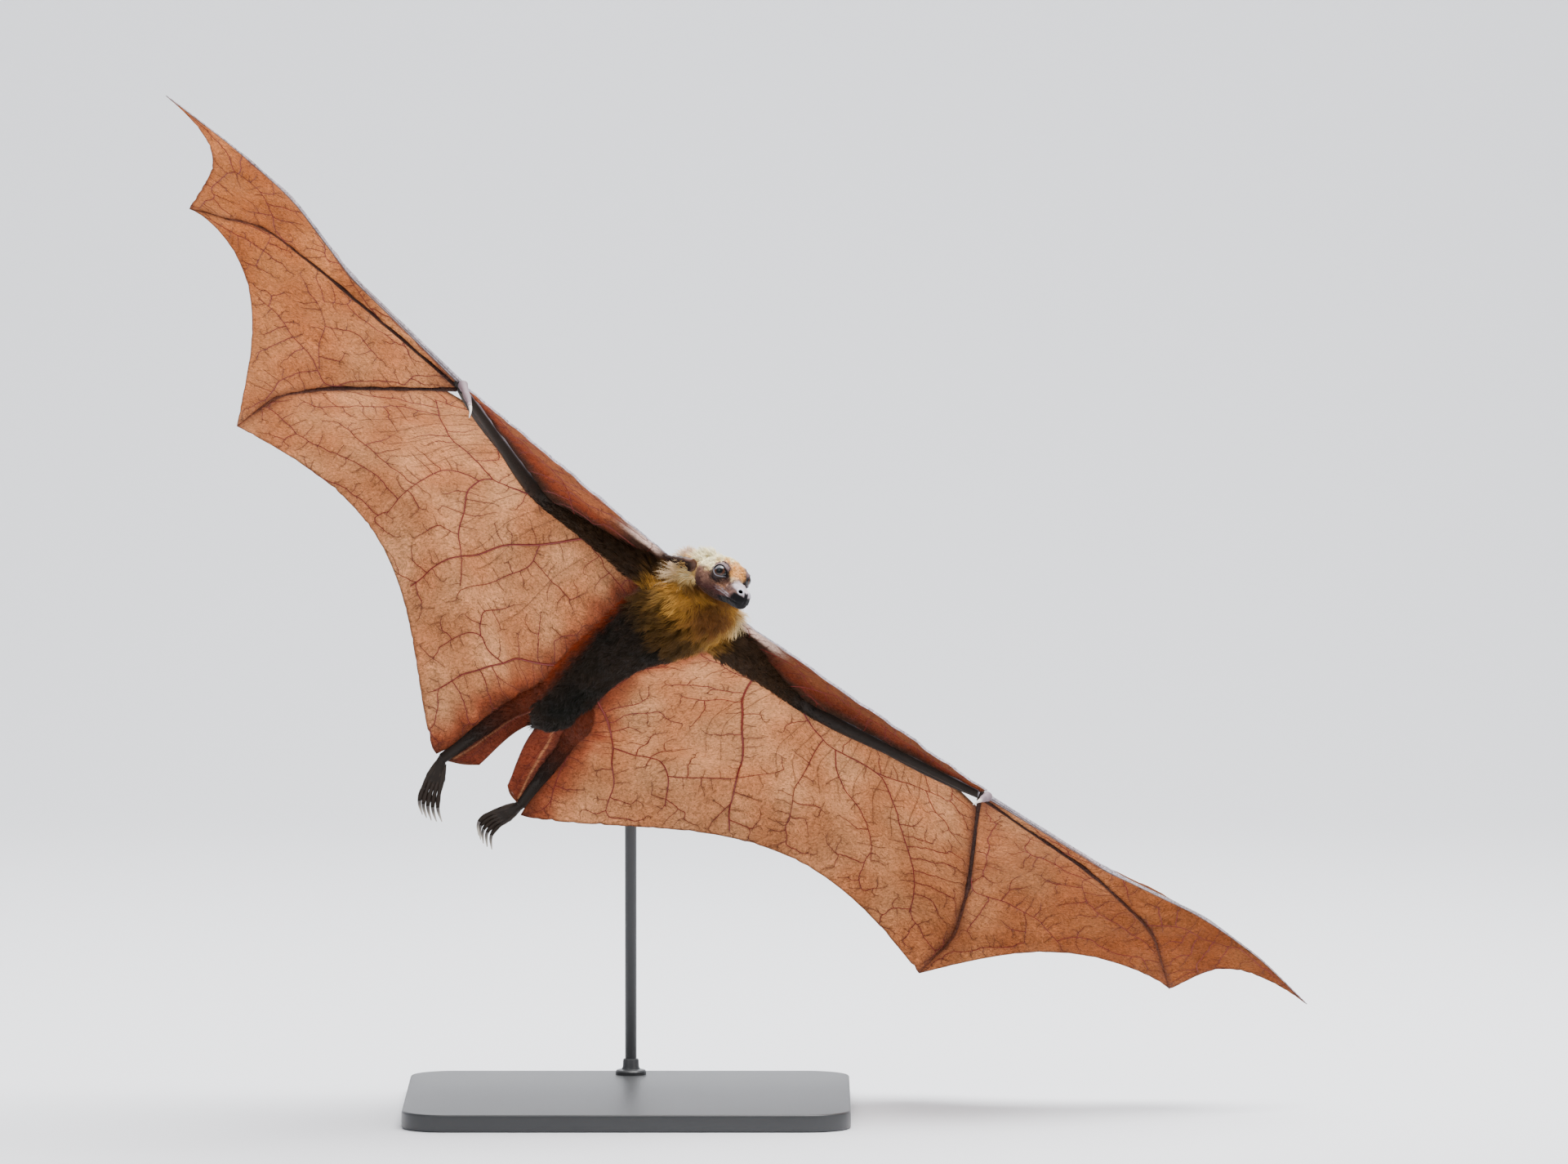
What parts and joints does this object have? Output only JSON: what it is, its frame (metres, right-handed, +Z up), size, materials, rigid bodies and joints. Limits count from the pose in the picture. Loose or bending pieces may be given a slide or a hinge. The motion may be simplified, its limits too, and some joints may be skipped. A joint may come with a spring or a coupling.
{
  "type": "flying fox bat model",
  "caption": "Life-size still model of a fruit bat gliding in a steep bank with spread translucent wings, held by one rod on a flat base.",
  "frame": {"origin": "centre of the underside of the stand's base plate", "axes": "+Z up, +X to the side that the left wing tip points to, +Y behind the bat's right wing, away from the side that its belly faces"},
  "size_m": [0.7606, 0.3635, 0.6929],
  "materials": {
    "golden_coat": "dense golden to dark brown fur",
    "dark_coat": "short dark brown fur over skin",
    "face": "short fur, grey brown with an orange forehead",
    "wing_skin": "thin translucent red brown skin with fine veins",
    "finger_skin": "dark skin drawn tight over bone",
    "pale_claw": "pale grey skin and horn, half glossy",
    "eye": "wet glossy red brown",
    "painted_steel": "satin dark grey paint"
  },
  "bodies": {
    "root": {"dactylopatagium_latus_left": "wing_skin", "dactylopatagium_latus_right": "wing_skin", "dactylopatagium_longus_left": "wing_skin", "dactylopatagium_longus_right": "wing_skin", "ear_left": "dark_coat", "ear_right": "dark_coat", "eye_left": "eye", "eye_right": "eye", "finger_2_left": "finger_skin", "finger_2_right": "finger_skin", "finger_3_left": "finger_skin", "finger_3_right": "finger_skin", "finger_4_left": "finger_skin", "finger_4_right": "finger_skin", "finger_5_left": "finger_skin", "finger_5_right": "finger_skin", "foot_left": "dark_coat", "foot_right": "dark_coat", "forearm_left": "dark_coat", "forearm_right": "dark_coat", "hand_left": "dark_coat", "hand_right": "dark_coat", "head": "face", "heel_spur_left": "finger_skin", "heel_spur_right": "finger_skin", "neck": "golden_coat", "plagiopatagium_left": "wing_skin", "plagiopatagium_right": "wing_skin", "propatagium_left": "wing_skin", "propatagium_right": "wing_skin", "shin_left": "dark_coat", "shin_right": "dark_coat", "stand_base": "painted_steel", "stand_rod": "painted_steel", "thigh_left": "dark_coat", "thigh_right": "dark_coat", "thumb_left": "pale_claw", "thumb_right": "pale_claw", "trunk": "golden_coat", "upper_arm_left": "dark_coat", "upper_arm_right": "dark_coat", "uropatagium_left": "wing_skin", "uropatagium_right": "wing_skin"}
  },
  "joints": []
}
